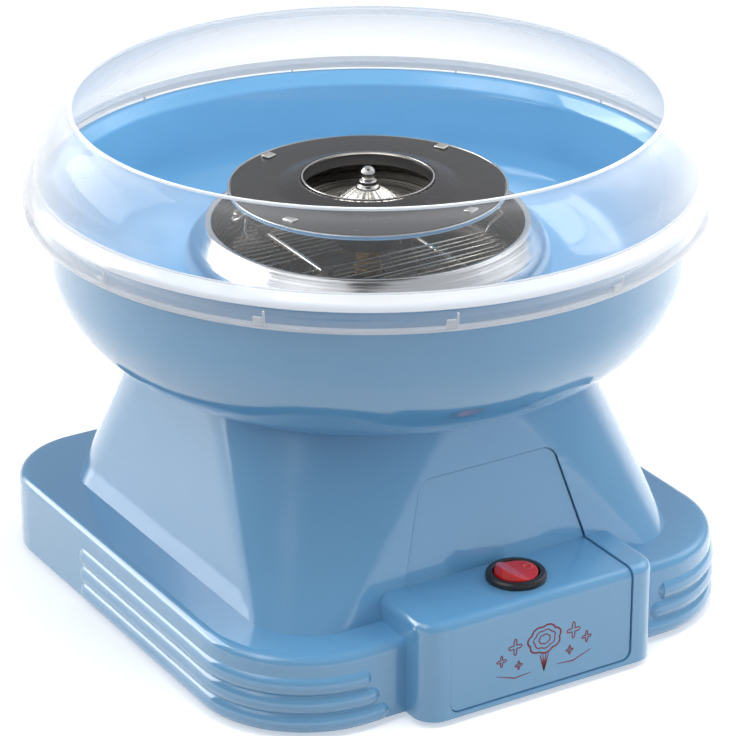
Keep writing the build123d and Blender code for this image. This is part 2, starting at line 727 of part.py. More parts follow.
def heater_insulators():
    """Ceramic posts that hold the cross rods, each between two wires."""
    posts = []
    for side, bar_z in heater_bar_places():
        for row in (POST_LONG_ROW, POST_SHORT_ROW):
            y = -side * copysign(WIRE_FIRST_Y + abs(row) * WIRE_PITCH, row)
            post = rod(POST_R, SHIELD_FLOOR_Z, bar_z + BAR_R + 1.0, side * BAR_X, y)
            slot = Pos(side * BAR_X, y, bar_z) * Rot(90, 0, 0) * Cylinder(BAR_R, 10)
            posts.append(post - slot)
    return posts


def thermal_cutout():
    top = SHIELD_FLOOR_Z - SHIELD_THICK
    body = block(24, 44, -4, 4, top - 6, top)
    return fillet(body.edges().filter_by(Axis.X), 1.5)


# ---------------------------------------------------------------- spinner head

def spinner_top_disc():
    """Coated disc with a raised, rolled collar round the filling hole."""
    collar = FilletPolyline(
        (HEAD_COLLAR_R, HEAD_TOP), (HEAD_HOLE_R + 0.8, 169.6), (HEAD_HOLE_R, 163.6), radius=1.6,
    )
    disc = rod(HEAD_DISC_R, HEAD_TOP - HEAD_THICK, HEAD_TOP)
    disc -= rod(HEAD_COLLAR_R - 0.2, HEAD_TOP - 2, HEAD_TOP + 1)
    disc += turned_sheet(collar, HEAD_THICK, Side.LEFT)
    for x, y in corners(TAB_RADIUS, TAB_COUNT, TAB_FIRST_DEG):
        disc -= Pos(x, y, HEAD_TOP) * Rot(0, 0, degrees(atan2(y, x))) * Box(1.4, TAB_WIDE + 0.6, 4)
    return disc


def spinner_pan():
    """Polished lower pan: a cone in the middle, a gutter, and a flange under the disc."""
    profile = [
        (3.7, 164.6), (7.0, 162.6), (12.5, 158.6), (18.5, 156.6), (25.0, 156.9),
        (33.0, 159.4), (40.5, 162.6), (46.5, 164.2), (HEAD_R, HEAD_TOP - HEAD_THICK - 0.25),
    ]
    return turned_skin(profile, -0.8, tangents=((0.8, -0.6), (1.0, 0.0)))


def crimp_tabs():
    """Tabs of the pan that pass through the disc and are bent over it."""
    tabs = []
    for x, y in corners(TAB_RADIUS, TAB_COUNT, TAB_FIRST_DEG):
        place = Pos(x, y, HEAD_TOP) * Rot(0, 0, degrees(atan2(y, x)))
        stem = Box(1.0, TAB_WIDE, 1.6)
        bend = Pos(-1.4, 0, 0.55) * Box(TAB_LONG, TAB_WIDE, 0.9)
        bend = fillet(bend.edges().filter_by(Axis.Y).group_by(Axis.Z)[-1], 0.4)
        tabs.append(place * (stem + Pos(0, 0, 0.05) * bend))
    return tabs


def spinner_hub():
    hub = turned_outline(
        (SHAFT_R + RUN, COUPLING_TOP + GAP), (HUB_R, COUPLING_TOP + GAP), (HUB_R, 146.0),
        (9.0, 147.5), (9.0, 155.0), (5.0, 160.2), (SHAFT_R + RUN, 160.2),
    )
    slot_half = DRIVE_PIN_HALF + 0.5
    slot_wide = DRIVE_PIN_R + 0.35
    top = DRIVE_PIN_Z + slot_wide
    return hub - block(-slot_half, slot_half, -slot_wide, slot_wide, COUPLING_TOP, top)


def spinner_ball_nut():
    """Nut with a ball grip that holds the head on its hub."""
    stem = turned_outline(
        (SHAFT_R + RUN, 160.3), (3.2, 160.3), (3.2, 164.9), (BALL_FLARE_R, 164.9),
        (BALL_FLARE_R, 166.0), (1.9, 167.1), (1.9, BALL_Z), (0, BALL_Z),
        (0, SHAFT_TOP + 0.3), (SHAFT_R + RUN, SHAFT_TOP + 0.3),
    )
    return stem + Pos(0, 0, BALL_Z) * Sphere(BALL_R)


# -------------------------------------------------------- bowl and splash guard

def collecting_bowl():
    outer_arc = EllipticalCenterArc((BOWL_ELLIPSE_R, BOWL_ELLIPSE_Z), BOWL_RX, BOWL_RZ, 270, arc_size=90)
    inner_rx = BOWL_RX - BOWL_WALL
    inner_rz = BOWL_RZ - BOWL_WALL
    inner_arc = EllipticalCenterArc((BOWL_ELLIPSE_R, BOWL_ELLIPSE_Z), inner_rx, inner_rz, 270, arc_size=90)
    foot = Line((BOWL_ELLIPSE_R, BOWL_ELLIPSE_Z - BOWL_RZ), (BOWL_ELLIPSE_R, BOWL_ELLIPSE_Z - inner_rz))
    r_out = BOWL_ELLIPSE_R + BOWL_RX
    r_in = r_out - BOWL_WALL
    brow = Line((r_out, BOWL_ELLIPSE_Z), (r_in, BOWL_ELLIPSE_Z))
    bowl = turned(outer_arc, brow, inner_arc, foot)
    wall = make_face(Polyline(
        (r_out, BOWL_ELLIPSE_Z), (r_out + 0.4, BOWL_RIM_Z - 7), (BOWL_LIP_R, BOWL_RIM_Z - 2.2),
        (BOWL_LIP_R, BOWL_RIM_Z), (r_in + 3.4, BOWL_RIM_Z), (r_in + 0.4, BOWL_RIM_Z - 5),
        (r_in, BOWL_ELLIPSE_Z), close=True,
    ))
    bowl += revolve(Plane.XZ * wall, Axis.Z)
    bowl -= rod(BOWL_HOLE_R, 90, 120)
    collar_z = BOWL_ELLIPSE_Z - BOWL_RZ + 1.2
    bowl += rod(BOWL_HOLE_R + 2.3, collar_z, collar_z + 4.5) - rod(BOWL_HOLE_R, collar_z - 1, collar_z + 6)
    return bowl


def splash_guard():
    """Clear guard: a flange that caps the bowl's rim and a wall leaning in to the mouth."""
    flange = [(129.2, 158.7), (130.9, 161.6), (FLANGE_R, 165.0), (130.2, 169.6), (127.0, 173.4)]
    wall = [
        (127.2, 172.6), (126.0, 176.2), (124.6, 182.6), (121.5, 189.7), (117.2, 195.9),
        (GUARD_MOUTH_R, GUARD_TOP - 0.4),
    ]
    guard = turned_skin(flange, GUARD_WALL) + turned_skin(wall, GUARD_WALL)
    seat_z = BOWL_RIM_Z + GAP
    guard += rod(126.2, seat_z, 174.0) - rod(124.0, seat_z - 1, 175)
    bead_r = 1.4
    bead = Circle(bead_r)
    guard += revolve(Plane.XZ * (Pos(GUARD_MOUTH_R, GUARD_TOP - bead_r) * bead), Axis.Z)
    return guard


# ------------------------------------------------------------ inside electrics

def board_posts():
    return [(BOARD_X + sx * BOARD_POST_X, BOARD_Y + sy * BOARD_POST_Y)
            for sx in (-1, 1) for sy in (-1, 1)]


def rectifier_board():
    board = Box(2 * BOARD_HALF_X, 2 * BOARD_HALF_Y, BOARD_THICK)
    return Pos(BOARD_X, BOARD_Y, BOARD_Z + BOARD_THICK / 2) * board


def board_components():
    z = BOARD_Z + BOARD_THICK
    parts = [block(BOARD_X - 18, BOARD_X - 6, BOARD_Y - 6, BOARD_Y + 6, z, z + 6)]
    parts.append(rod(5, z, z + 14, BOARD_X + 6, BOARD_Y))
    parts.append(rod(3.5, z, z + 9, BOARD_X + 16, BOARD_Y - 4))
    return parts


def terminal_block():
    z = FOOT_HEIGHT + COVER_THICK
    top = z + TERMINAL_HEIGHT
    body = Box(2 * TERMINAL_HALF_X, 2 * TERMINAL_HALF_Y, TERMINAL_HEIGHT)
    body = Pos(TERMINAL_X, TERMINAL_Y, (z + top) / 2) * body
    for dx in (-TERMINAL_PITCH, 0, TERMINAL_PITCH):
        body -= rod(TERMINAL_SCREW_R, top - 6, top + 1, TERMINAL_X + dx, TERMINAL_Y)
    return body


def internal_leads():
    """Two insulated leads from the switch to the terminal block."""
    leads = []
    for dx in (-LEAD_SPREAD, LEAD_SPREAD):
        start = (SWITCH_X + dx, SWITCH_Y, SWITCH_BOTTOM - BLADE_LENGTH)
        end = (TERMINAL_X + 0.8 * dx, TERMINAL_Y - TERMINAL_HALF_Y, LEAD_Z)
        points = [
            start, (start[0], start[1], LEAD_Z), (start[0] + 20, -60 - dx, LEAD_Z),
            (end[0], end[1] - 30, LEAD_Z), end,
        ]
        path = FilletPolyline(*points, radius=6)
        begin = Plane(origin=path @ 0, z_dir=path % 0)
        leads.append(sweep(begin * Circle(LEAD_R), path=path))
    return leads


# --------------------------------------------------------------------- writing

save("base_housing", base_housing())
save("front_panel", front_panel())
save("bottom_cover", bottom_cover())
save("bottom_cover_screws", bottom_cover_screws())
foot_names = ("left_front", "left_rear", "right_front", "right_rear")
for name, (x, y) in zip(foot_names, foot_points()):
    save("suction_foot_" + name, suction_foot(x, y))
save("cord_gland", cord_gland())
save("switch_body", switch_body())
save("switch_rocker", switch_rocker())
save("switch_terminals", switch_terminals())
save("motor_case", motor_case())
save("motor_end_cap", motor_end_cap())
save("motor_magnets", motor_magnets())
save("carbon_brushes", carbon_brushes())
save("motor_bushes", motor_bushes())
save("motor_armature", motor_armature())
save("motor_commutator", motor_commutator())
save("drive_shaft", drive_shaft())
save("drive_pin", drive_pin())
save("brass_coupling", brass_coupling())
save("cooling_fan", cooling_fan())
save("motor_mount_plate", motor_mount_plate())
save("rubber_bushes", rubber_bushes())
plate_top = PLATE_Z + PLATE_THICK
save("plate_screws", machine_screws(corners(PILLAR_RADIUS), plate_top + 2, 16))
motor_screw_points = [(-MOTOR_SCREW_RADIUS, 0), (MOTOR_SCREW_RADIUS, 0)]
save("motor_screws", machine_screws(motor_screw_points, plate_top, 5))
save("heat_shield", heat_shield())
save("shield_spacers", shield_spacers())
save("shield_screws", machine_screws(spacer_points(), SHIELD_FLOOR_Z, 15))
save("heater_wires", heater_wires())
save("heater_bars", heater_bars())
save("heater_insulators", heater_insulators())
save("thermal_cutout", thermal_cutout())
save("spinner_top_disc", spinner_top_disc())
save("spinner_pan", spinner_pan())
save("spinner_crimp_tabs", crimp_tabs())
save("spinner_hub", spinner_hub())
save("spinner_ball_nut", spinner_ball_nut())
save("collecting_bowl", collecting_bowl())
save("splash_guard", splash_guard())
save("rectifier_board", rectifier_board())
save("board_components", board_components())
save("terminal_block", terminal_block())
save("internal_leads", internal_leads())
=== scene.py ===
import json
from math import acos, atan2, cos, degrees, hypot, pi, radians, sin, sqrt, tan
from random import Random

import bmesh
import bpy
from mathutils import Matrix, Vector


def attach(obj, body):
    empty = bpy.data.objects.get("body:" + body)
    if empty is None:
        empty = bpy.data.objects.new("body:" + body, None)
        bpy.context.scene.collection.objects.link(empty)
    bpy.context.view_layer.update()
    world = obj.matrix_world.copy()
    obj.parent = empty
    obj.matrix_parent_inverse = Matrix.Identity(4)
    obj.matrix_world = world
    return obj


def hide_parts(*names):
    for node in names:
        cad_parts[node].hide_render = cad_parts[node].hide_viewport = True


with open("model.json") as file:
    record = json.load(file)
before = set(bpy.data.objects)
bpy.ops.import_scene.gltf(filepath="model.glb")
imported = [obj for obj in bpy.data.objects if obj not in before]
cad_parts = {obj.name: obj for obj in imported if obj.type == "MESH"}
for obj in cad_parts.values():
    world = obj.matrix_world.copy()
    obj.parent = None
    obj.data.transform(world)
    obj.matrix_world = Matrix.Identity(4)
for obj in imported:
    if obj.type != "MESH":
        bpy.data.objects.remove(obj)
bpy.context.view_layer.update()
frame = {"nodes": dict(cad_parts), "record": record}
MM = 0.001
SMOOTH_ANGLE = 40
WELD_DISTANCE = 1e-6
nodes = frame["nodes"]


# ------------------------------------------------------------- section drawing
# Sections are lists of (radius, height) in millimetres.

def arc(cx, cz, rx, rz, start, stop, steps):
    """Points on an ellipse from one angle to another, in degrees."""
    angles = [radians(start + (stop - start) * i / steps) for i in range(steps + 1)]
    return [(cx + rx * cos(a), cz + rz * sin(a)) for a in angles]


def rounded(points, radii, steps=7, closed=False):
    """A line through points with its corners turned by arcs of the given radii."""
    out = []
    count = len(points)
    for i, (x, z) in enumerate(points):
        if not closed and i in (0, count - 1):
            out.append((x, z))
            continue
        radius = radii[i % len(radii)]
        before = Vector(points[i - 1]) - Vector((x, z))
        after = Vector(points[(i + 1) % count]) - Vector((x, z))
        turn = before.angle(after, pi)
        if radius <= 0 or turn > pi - 0.01:
            out.append((x, z))
            continue
        reach = min(radius / tan(turn / 2), 0.49 * before.length, 0.49 * after.length)
        bend = reach * tan(turn / 2)
        inwards = (before.normalized() + after.normalized()).normalized()
        middle = Vector((x, z)) + inwards * bend / sin(turn / 2)
        first = Vector((x, z)) + before.normalized() * reach
        last = Vector((x, z)) + after.normalized() * reach
        a0 = atan2(first.y - middle.y, first.x - middle.x)
        a1 = atan2(last.y - middle.y, last.x - middle.x)
        sweep = (a1 - a0 + pi) % (2 * pi) - pi
        for k in range(steps + 1):
            a = a0 + sweep * k / steps
            out.append((middle.x + bend * cos(a), middle.y + bend * sin(a)))
    return out


def flowing(points, steps=6):
    """A smooth curve through all the points (Catmull-Rom)."""
    out = []
    for i in range(len(points) - 1):
        p0 = Vector(points[max(i - 1, 0)])
        p1 = Vector(points[i])
        p2 = Vector(points[i + 1])
        p3 = Vector(points[min(i + 2, len(points) - 1)])
        for k in range(steps):
            t = k / steps
            p = 0.5 * (2 * p1 + (p2 - p0) * t + (2 * p0 - 5 * p1 + 4 * p2 - p3) * t * t
                       + (3 * p1 - p0 - 3 * p2 + p3) * t ** 3)
            out.append((p.x, p.y))
    out.append(tuple(points[-1]))
    return out


def beside(points, distance):
    """The same line moved sideways, to the left of travel."""
    moved = []
    for i, (x, z) in enumerate(points):
        ahead = points[min(i + 1, len(points) - 1)]
        behind = points[max(i - 1, 0)]
        dx, dz = ahead[0] - behind[0], ahead[1] - behind[1]
        length = hypot(dx, dz) or 1.0
        moved.append((x - distance * dz / length, z + distance * dx / length))
    return moved


def skin(points, thickness):
    """A closed section: a line, and the same line moved by the thickness."""
    return points + beside(points, thickness)[::-1]


# ---------------------------------------------------------------- mesh helpers

def shade(mesh, angle=SMOOTH_ANGLE):
    """Smooth shading, with edges sharper than the angle kept hard."""
    for polygon in mesh.polygons:
        polygon.use_smooth = True
    mesh.set_sharp_from_angle(angle=radians(angle))


def piece(name, verts, faces, body, slot, material):
    """One mesh object, riding on a body, with its material; the record slot is not used."""
    mesh = bpy.data.meshes.new(name)
    mesh.from_pydata(verts, [], faces)
    mesh.validate()
    shade(mesh)
    mesh.materials.append(material)
    obj = bpy.data.objects.new(name, mesh)
    bpy.context.scene.collection.objects.link(obj)
    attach(obj, body)
    return obj


def lathe_mesh(section, segments=192, centre=(0.0, 0.0)):
    """Vertices and faces of a closed section turned about the Z axis."""
    count = len(section)
    verts = []
    for s in range(segments):
        a = 2 * pi * s / segments
        for r, z in section:
            x, y = centre[0] + r * cos(a), centre[1] + r * sin(a)
            verts.append((x * MM, y * MM, z * MM))
    faces = []
    for s in range(segments):
        here = s * count
        there = (s + 1) % segments * count
        for i in range(count):
            j = (i + 1) % count
            faces.append((here + i, there + i, there + j, here + j))
    return verts, faces


def weld(obj):
    """Merge points that meet, such as those on the axis, and turn faces outwards."""
    bm = bmesh.new()
    bm.from_mesh(obj.data)
    bmesh.ops.remove_doubles(bm, verts=bm.verts, dist=WELD_DISTANCE)
    bmesh.ops.recalc_face_normals(bm, faces=bm.faces)
    bm.to_mesh(obj.data)
    bm.free()
    return obj


def lathe(name, section, body, slot, material, segments=192, centre=(0.0, 0.0)):
    """A piece turned about the Z axis from a closed section."""
    verts, faces = lathe_mesh(section, segments, centre)
    obj = weld(piece(name, verts, faces, body, slot, material))
    shade(obj.data)
    return obj


def joined(meshes):
    """Several (vertices, faces) meshes as one."""
    verts, faces = [], []
    for part_verts, part_faces in meshes:
        first = len(verts)
        verts += part_verts
        faces += [tuple(first + i for i in face) for face in part_faces]
    return verts, faces


def soft_block(size, bevel, place):
    """A block with rounded edges, set in place by a matrix in millimetres."""
    bm = bmesh.new()
    bmesh.ops.create_cube(bm, size=1.0)
    bmesh.ops.scale(bm, vec=Vector(size), verts=bm.verts)
    bmesh.ops.bevel(bm, geom=bm.edges[:], offset=bevel, segments=3, profile=0.5, affect="EDGES")
    bm.transform(place)
    bm.verts.index_update()
    verts = [tuple(v.co * MM) for v in bm.verts]
    faces = [tuple(v.index for v in face.verts) for face in bm.faces]
    bm.free()
    return verts, faces


def polar(radius, degrees_round, z, lean=0.0):
    """A place at a radius and angle, its own X axis pointing outwards."""
    turn = Matrix.Rotation(radians(degrees_round), 4, "Z")
    return turn @ Matrix.Translation((radius, 0, z)) @ Matrix.Rotation(radians(lean), 4, "Y")


def heading(path, i, closed):
    """The direction of travel at one point of a path."""
    if closed:
        along = path[(i + 1) % len(path)] - path[i - 1]
    else:
        along = path[min(i + 1, len(path) - 1)] - path[max(i - 1, 0)]
    return along.normalized()


CAP_LENGTH = 0.6
CAP_WIDTH = 0.75


def tube(points, radius, sides=10, closed=False):
    """A round wire along a line of points, each open end narrowed by one more ring."""
    path = [Vector(p) for p in points]
    last = len(path) - 1
    side = None
    verts, faces, rings = [], [], []
    for i, at in enumerate(path):
        along = heading(path, i, closed)
        if side is None:
            side = along.orthogonal()
        side = (side - along * side.dot(along)).normalized()
        other = along.cross(side)
        beyond = along * (CAP_LENGTH * radius)
        if i == 0 and not closed:
            rings.append((at - beyond, side, other, CAP_WIDTH * radius))
        rings.append((at, side, other, radius))
        if i == last and not closed:
            rings.append((at + beyond, side, other, CAP_WIDTH * radius))
    for at, u, v, r in rings:
        for k in range(sides):
            a = 2 * pi * k / sides
            verts.append(tuple((at + u * r * cos(a) + v * r * sin(a)) * MM))
    total = len(rings)
    for i in range(total if closed else total - 1):
        here, there = i * sides, (i + 1) % total * sides
        for k in range(sides):
            j = (k + 1) % sides
            faces.append((here + k, here + j, there + j, there + k))
    if not closed:
        faces.append(tuple(range(sides))[::-1])
        faces.append(tuple(range((total - 1) * sides, total * sides)))
    return verts, faces


def tubes(name, lines, radius, body, slot, material):
    """Several round wires as one piece."""
    meshes = [tube(line, radius) for line in lines]
    return weld(piece(name, *joined(meshes), body, slot, material))


RIBBON_THICK = 0.06
RIBBON_TIP = 0.45


def ribbon(points, width, place, closed=False):
    """A flat printed stroke along points (x, y), lifted off the XY plane of a matrix."""
    path = [Vector(p) for p in points]
    count = len(path)
    verts, faces = [], []
    for i, at in enumerate(path):
        along = heading(path, i, closed)
        across = Vector((-along.y, along.x))
        end = not closed and i in (0, count - 1)
        half = width / 2 * (RIBBON_TIP if end else 1.0)
        for side, lift in ((1, 0), (1, RIBBON_THICK), (-1, RIBBON_THICK), (-1, 0)):
            flat = at + across * half * side
            verts.append(tuple((place @ Vector((flat.x, flat.y, lift))) * MM))
    for i in range(count if closed else count - 1):
        here, there = i * 4, (i + 1) % count * 4
        for k in range(4):
            j = (k + 1) % 4
            faces.append((here + k, there + k, there + j, here + j))
    if not closed:
        faces.append((0, 1, 2, 3))
        faces.append(tuple((count - 1) * 4 + k for k in (3, 2, 1, 0)))
    return verts, faces


# ------------------------------------------------------------------- materials

class Paint:
    """A Principled material with a few helpers for its procedural detail."""

    def __init__(self, name, colour, roughness, metallic=0.0, specular=0.5, coat=0.0):
        self.material = bpy.data.materials.new(name)
        self.material.use_nodes = True
        self.tree = self.material.node_tree
        self.shader = self.tree.nodes["Principled BSDF"]
        self.shader.inputs["Base Color"].default_value = (*colour, 1)
        self.shader.inputs["Roughness"].default_value = roughness
        self.shader.inputs["Metallic"].default_value = metallic
        self.shader.inputs["Specular IOR Level"].default_value = specular
        self.shader.inputs["Coat Weight"].default_value = coat
        self.shader.inputs["Coat Roughness"].default_value = 0.04
        self.height = None

    def node(self, kind, **values):
        made = self.tree.nodes.new(kind)
        for key, value in values.items():
            setattr(made, key, value)
        return made

    def link(self, a, b):
        self.tree.links.new(a, b)

    def noise(self, scale, detail=4.0, stretch=(1, 1, 1)):
        where = self.node("ShaderNodeTexCoord")
        mapping = self.node("ShaderNodeMapping")
        mapping.inputs["Scale"].default_value = stretch
        texture = self.node("ShaderNodeTexNoise")
        texture.inputs["Scale"].default_value = scale
        texture.inputs["Detail"].default_value = detail
        self.link(where.outputs["Object"], mapping.inputs["Vector"])
        self.link(mapping.outputs["Vector"], texture.inputs["Vector"])
        return texture.outputs["Fac"]

    def ramp(self, source, low, high, start=0.35, stop=0.65):
        """Map a 0 to 1 source to values between two numbers."""
        remap = self.node("ShaderNodeMapRange")
        remap.inputs["From Min"].default_value = start
        remap.inputs["From Max"].default_value = stop
        remap.inputs["To Min"].default_value = low
        remap.inputs["To Max"].default_value = high
        self.link(source, remap.inputs["Value"])
        return remap.outputs["Result"]

    def tint(self, source, first, second):
        """Colour between two tones by a 0 to 1 source."""
        mix = self.node("ShaderNodeMix", data_type="RGBA")
        mix.inputs["A"].default_value = (*first, 1)
        mix.inputs["B"].default_value = (*second, 1)
        self.link(source, mix.inputs["Factor"])
        self.link(mix.outputs["Result"], self.shader.inputs["Base Color"])

    def rough(self, source, low, high):
        self.link(self.ramp(source, low, high), self.shader.inputs["Roughness"])

    def bump(self, source, strength, distance):
        bump = self.node("ShaderNodeBump")
        bump.inputs["Strength"].default_value = strength
        bump.inputs["Distance"].default_value = distance
        self.link(source, bump.inputs["Height"])
        if self.height is not None:
            self.link(self.height, bump.inputs["Normal"])
        self.height = bump.outputs["Normal"]
        self.link(self.height, self.shader.inputs["Normal"])


def moulded(name, first, second, roughness, grain=900.0, coat=0.0, specular=0.5):
    """Injection-moulded plastic: faint clouding, varied gloss, a fine skin."""
    paint = Paint(name, first, roughness, coat=coat, specular=specular)
    paint.tint(paint.ramp(paint.noise(9.0, 3.0), 0.0, 1.0), first, second)
    paint.rough(paint.noise(60.0, 5.0), roughness * 0.8, roughness * 1.25)
    paint.bump(paint.noise(14.0, 2.0), 0.06, 0.002)
    paint.bump(paint.noise(grain, 2.0), 0.05, 0.0002)
    return paint.material


METAL_GRAIN = 260.0
SPUN_RINGS = 1500.0


def metal(name, first, second, roughness, stretch=(1, 1, 1), strength=0.12):
    """Bare metal with fine marks and uneven polish."""
    paint = Paint(name, first, roughness, metallic=1.0)
    paint.tint(paint.ramp(paint.noise(35.0, 5.0), 0.0, 1.0), first, second)
    paint.rough(paint.noise(120.0, 6.0, stretch), roughness * 0.6, roughness * 1.5)
    paint.bump(paint.noise(METAL_GRAIN, 4.0, stretch), strength, 0.0003)
    return paint.material


def turned_metal(name, first, second, roughness, strength=0.1):
    """Spun metal: fine rings round the spin axis."""
    paint = Paint(name, first, roughness, metallic=1.0)
    paint.tint(paint.ramp(paint.noise(25.0, 4.0), 0.0, 1.0), first, second)
    where = paint.node("ShaderNodeTexCoord")
    split = paint.node("ShaderNodeSeparateXYZ")
    paint.link(where.outputs["Object"], split.inputs["Vector"])
    flat = paint.node("ShaderNodeCombineXYZ")
    paint.link(split.outputs["X"], flat.inputs["X"])
    paint.link(split.outputs["Y"], flat.inputs["Y"])
    radius = paint.node("ShaderNodeVectorMath", operation="LENGTH")
    paint.link(flat.outputs["Vector"], radius.inputs[0])
    line = paint.node("ShaderNodeCombineXYZ")
    paint.link(radius.outputs["Value"], line.inputs["X"])
    paint.link(split.outputs["Z"], line.inputs["Y"])
    texture = paint.node("ShaderNodeTexNoise")
    texture.inputs["Scale"].default_value = SPUN_RINGS
    texture.inputs["Detail"].default_value = 3.0
    paint.link(line.outputs["Vector"], texture.inputs["Vector"])
    paint.rough(texture.outputs["Fac"], roughness * 0.6, roughness * 1.5)
    paint.bump(texture.outputs["Fac"], strength, 0.0002)
    return paint.material


def clear_plastic(name, tint, haze, edge):
    """Clear moulded plastic: see-through face on, a mirror at a glancing angle."""
    paint = Paint(name, (0.93, 0.94, 0.95), 0.06, specular=1.0)
    paint.rough(paint.noise(70.0, 4.0), 0.03, 0.10)
    paint.bump(paint.noise(18.0, 2.0), 0.05, 0.002)
    see = paint.node("ShaderNodeBsdfTransparent")
    see.inputs["Color"].default_value = (*tint, 1)
    facing = paint.node("ShaderNodeLayerWeight")
    facing.inputs["Blend"].default_value = 0.5
    bent = paint.node("ShaderNodeMath", operation="POWER")
    bent.inputs[1].default_value = 1.7
    paint.link(facing.outputs["Facing"], bent.inputs[0])
    share = paint.ramp(bent.outputs["Value"], haze, edge, 0.0, 1.0)
    mix = paint.node("ShaderNodeMixShader")
    out = paint.tree.nodes["Material Output"]
    paint.link(share, mix.inputs["Fac"])
    paint.link(see.outputs["BSDF"], mix.inputs[1])
    paint.link(paint.shader.outputs["BSDF"], mix.inputs[2])
    paint.link(mix.outputs["Shader"], out.inputs["Surface"])
    return paint.material


BLUE = moulded("sky_blue_abs", (0.130, 0.345, 0.580), (0.143, 0.362, 0.600), 0.15, coat=0.8)
CLEAR = clear_plastic("clear_guard", (0.965, 0.97, 0.98), 0.03, 0.85)
MILKY = clear_plastic("clear_flange", (0.93, 0.94, 0.96), 0.50, 0.85)
ALUMINIUM = turned_metal("spun_aluminium", (0.84, 0.84, 0.84), (0.74, 0.74, 0.74), 0.15)
DISC_COAT = moulded("coated_disc", (0.036, 0.035, 0.036), (0.046, 0.045, 0.045), 0.22,
                    grain=1600.0, specular=0.15)
BRIGHT = turned_metal("bright_steel", (0.82, 0.80, 0.77), (0.72, 0.70, 0.68), 0.14,
                      strength=0.05)
# A dark brown-grey spun metal for the lining inside the dish, darker than the outside.
DARK_LINING = turned_metal("dark_dish_lining", (0.20, 0.175, 0.15), (0.09, 0.08, 0.07), 0.30,
                         strength=0.12)
STEEL = metal("plain_steel", (0.55, 0.55, 0.56), (0.45, 0.45, 0.46), 0.32)
BRASS = metal("brass_post", (0.72, 0.50, 0.18), (0.60, 0.40, 0.13), 0.25,
              stretch=(1, 1, 12))
COPPER = metal("copper_bars", (0.72, 0.38, 0.22), (0.60, 0.30, 0.17), 0.3)
HEAT_ALLOY = metal("heater_alloy", (0.74, 0.70, 0.63), (0.52, 0.48, 0.42), 0.34)
BLACK = moulded("black_plastic", (0.012, 0.012, 0.013), (0.02, 0.02, 0.021), 0.30)
FERRITE = moulded("ferrite_black", (0.03, 0.03, 0.032), (0.05, 0.05, 0.052), 0.6)
RED = moulded("red_rocker", (0.62, 0.012, 0.01), (0.70, 0.02, 0.015), 0.22, coat=0.4)
# Painted shade: the heater's white ceramic parts are coloured a dark brown-grey, the shade they sit
# in down in the dish.
SHADED_CERAMIC = moulded("ceramic_painted_shade", (0.16, 0.14, 0.12), (0.10, 0.085, 0.07), 0.5)
RUBBER = moulded("black_rubber", (0.02, 0.02, 0.02), (0.035, 0.035, 0.035), 0.7)
FOOT_RUBBER = moulded("clear_rubber", (0.66, 0.70, 0.74), (0.58, 0.62, 0.67), 0.45)
BOARD = moulded("circuit_board", (0.03, 0.20, 0.07), (0.02, 0.14, 0.05), 0.4)
WHITE = moulded("white_nylon", (0.78, 0.78, 0.75), (0.70, 0.70, 0.68), 0.45)
MARK = moulded("dark_red_print", (0.13, 0.012, 0.02), (0.18, 0.02, 0.028), 0.5)
MARK_LIGHT = moulded("pale_ring_print", (0.75, 0.10, 0.09), (0.80, 0.14, 0.12), 0.4)
# Bright steel for the rods, loops and tabs; on a random share of the heater wires it is a painted
# glint, a paler glossier copy of the heater alloy.
BRIGHT_STEEL_AND_GLINT = metal("bright_steel_and_painted_glint", (0.85, 0.82, 0.76), (0.72, 0.68, 0.62), 0.2,
                    strength=0.08)
# Painted light: the pan's polished steel is made paler and warmer than the other polished steel,
# standing in for light that the dim head doesn't get.
PAN_STEEL_PAINTED_LIGHT = turned_metal("pan_steel_painted_light", (0.92, 0.88, 0.82), (0.80, 0.76, 0.70), 0.30,
                         strength=0.08)
# Black of the dark card over the object, seen only in reflections: a painted dark reflection on the
# glossy surfaces.
CARD_BLACK = moulded("black_card_reflection", (0.01, 0.01, 0.01), (0.02, 0.02, 0.02), 0.5)

BY_SLOT = {
    "blue_plastic": BLUE, "clear_plastic": CLEAR, "black_plastic": BLACK, "red_plastic": RED,
    "white_plastic": WHITE, "polished_aluminium": ALUMINIUM, "polished_steel": BRIGHT,
    "plain_steel": STEEL, "coated_steel": DISC_COAT, "heater_alloy": HEAT_ALLOY, "brass": BRASS,
    "copper": COPPER, "ferrite": FERRITE, "ceramic": SHADED_CERAMIC, "circuit_board": BOARD,
    "rubber": RUBBER, "foot_rubber": FOOT_RUBBER,
}


def paint_cad_nodes():
    """Give each CAD node the material of its record slot."""
    for entry in frame["record"]["subparts"]:
        mesh = nodes[entry["node"]].data
        mesh.materials.clear()
        mesh.materials.append(BY_SLOT[entry["material_slot"]])


# ------------------------------------------------------------------------ bowl

BOWL_CENTRE = (63.45, 142.0)
BOWL_R = (58.5, 45.0)
BOWL_WALL = 2.5
BOWL_HOLE_R = 72.5
BOWL_RIM_Z = 168.0
BOWL_LIP_R = 126.4
BOWL_STEPS = 40
COLLAR_THICK = 2.3
COLLAR_HIGH = 5.7


